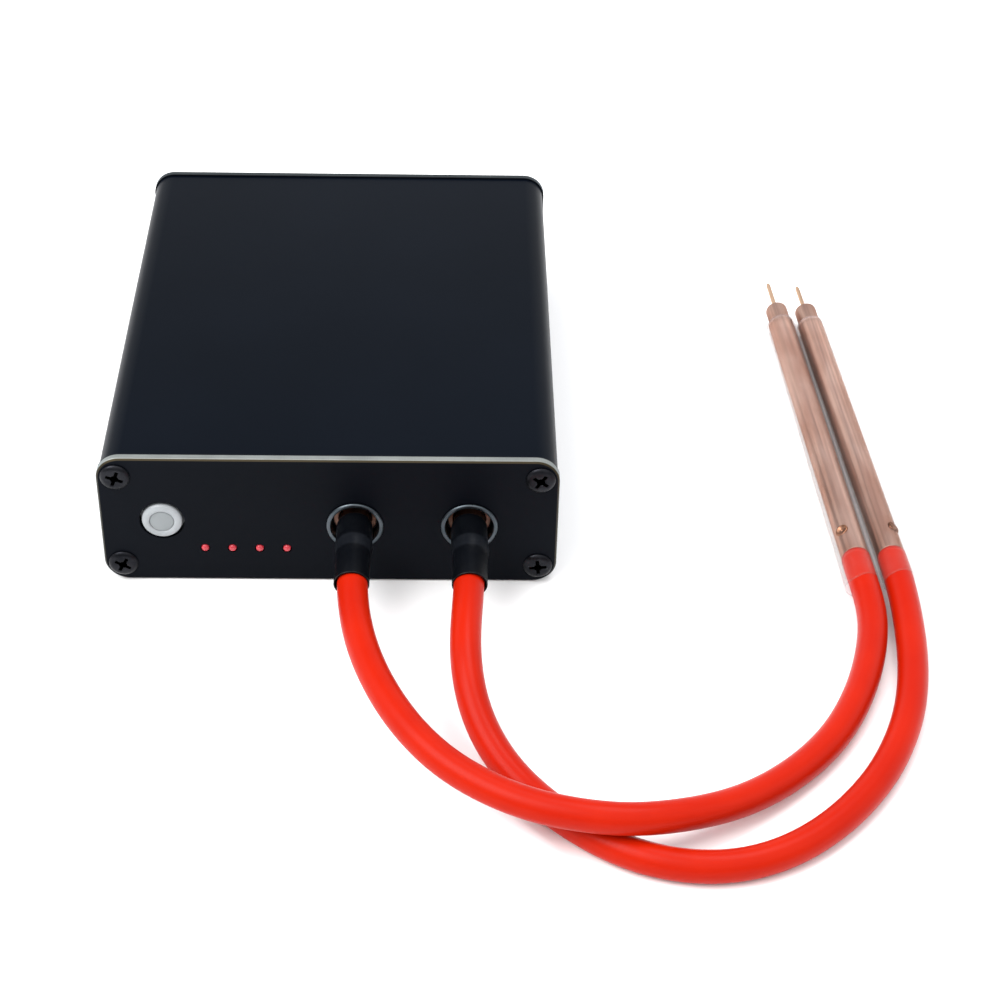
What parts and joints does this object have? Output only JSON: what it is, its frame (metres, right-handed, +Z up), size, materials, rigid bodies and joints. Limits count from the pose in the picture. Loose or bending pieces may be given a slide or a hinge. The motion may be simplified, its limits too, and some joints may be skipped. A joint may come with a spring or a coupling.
{
  "type": "battery spot welder",
  "caption": "Battery spot welder: flat black aluminium case with a push button and charge lights, and two red silicone leads plugged into it that end in copper welding pens.",
  "frame": {"origin": "on the table, under the middle of the case", "axes": "+X to the right of the front plate, +Y from the front plate to the rear plate, +Z up"},
  "size_m": [0.1512, 0.1816, 0.028],
  "materials": {
    "case_satin": "satin blue-black anodised aluminium",
    "plate_black": "satin black face with bare cut edges",
    "screw_black": "black oxide",
    "ring_metal": "bright turned",
    "copper": "bare copper, lightly brushed",
    "needle_copper": "bright drawn copper",
    "button_white": "satin",
    "button_grey": "matte",
    "steel": "plain",
    "light_red": "clear red",
    "board_green": "solder mask",
    "black_plastic": "moulded",
    "pouch_foil": "laminated foil",
    "pad_foam": "matte foam",
    "boot_black": "heat-shrink, satin",
    "lead_red": "silicone, satin",
    "sleeve_clear": "clear heat-shrink"
  },
  "bodies": {
    "case": {"case_shell": "case_satin", "front_plate": "plate_black", "rear_plate": "plate_black", "front_screw_1": "screw_black", "rear_screw_1": "screw_black", "front_screw_2": "screw_black", "rear_screw_2": "screw_black", "front_screw_3": "screw_black", "rear_screw_3": "screw_black", "front_screw_4": "screw_black", "rear_screw_4": "screw_black", "button_switch": "black_plastic", "button_spring": "steel", "control_board": "board_green", "indicator_light_1": "light_red", "indicator_light_2": "light_red", "indicator_light_3": "light_red", "indicator_light_4": "light_red", "socket_ring_left": "ring_metal", "socket_contact_left": "copper", "socket_holder_left": "black_plastic", "socket_ring_right": "ring_metal", "socket_contact_right": "copper", "socket_holder_right": "black_plastic", "main_board": "board_green", "power_transistor_1": "black_plastic", "power_transistor_2": "black_plastic", "power_transistor_3": "black_plastic", "power_transistor_4": "black_plastic", "power_transistor_5": "black_plastic", "power_transistor_6": "black_plastic", "capacitor_1": "steel", "capacitor_2": "steel", "positive_bar": "copper", "switched_bar": "copper", "negative_bar": "copper", "battery_cell_1": "pouch_foil", "battery_cell_2": "pouch_foil", "battery_cell_3": "pouch_foil", "foam_pad_1": "pad_foam", "foam_pad_2": "pad_foam", "charge_board": "board_green", "charge_port": "steel", "lead_left": "lead_red", "pen_rod_left": "copper", "pen_sleeve_left": "sleeve_clear", "needle_left": "needle_copper", "lead_right": "lead_red", "pen_rod_right": "copper", "pen_sleeve_right": "sleeve_clear", "needle_right": "needle_copper"},
    "button": {"button_cap": "button_white", "button_centre": "button_grey"},
    "plug_left": {"plug_left": "copper", "boot_left": "boot_black"},
    "plug_right": {"plug_right": "copper", "boot_right": "boot_black"}
  },
  "joints": [
    {"name": "button_press", "type": "slide", "parent": "case", "child": "button", "axis": [0, 1, 0], "range_m": [0, 0.001], "stiffness_N_per_m": 700, "springref_m": -0.002, "deforming": ["button_spring"]},
    {"name": "plug_left_pull", "type": "slide", "parent": "case", "child": "plug_left", "axis": [0, -1, 0], "range_m": [0, 0.0145], "deforming": ["lead_left"]},
    {"name": "plug_right_pull", "type": "slide", "parent": "case", "child": "plug_right", "axis": [0, -1, 0], "range_m": [0, 0.0145], "deforming": ["lead_right"]}
  ]
}
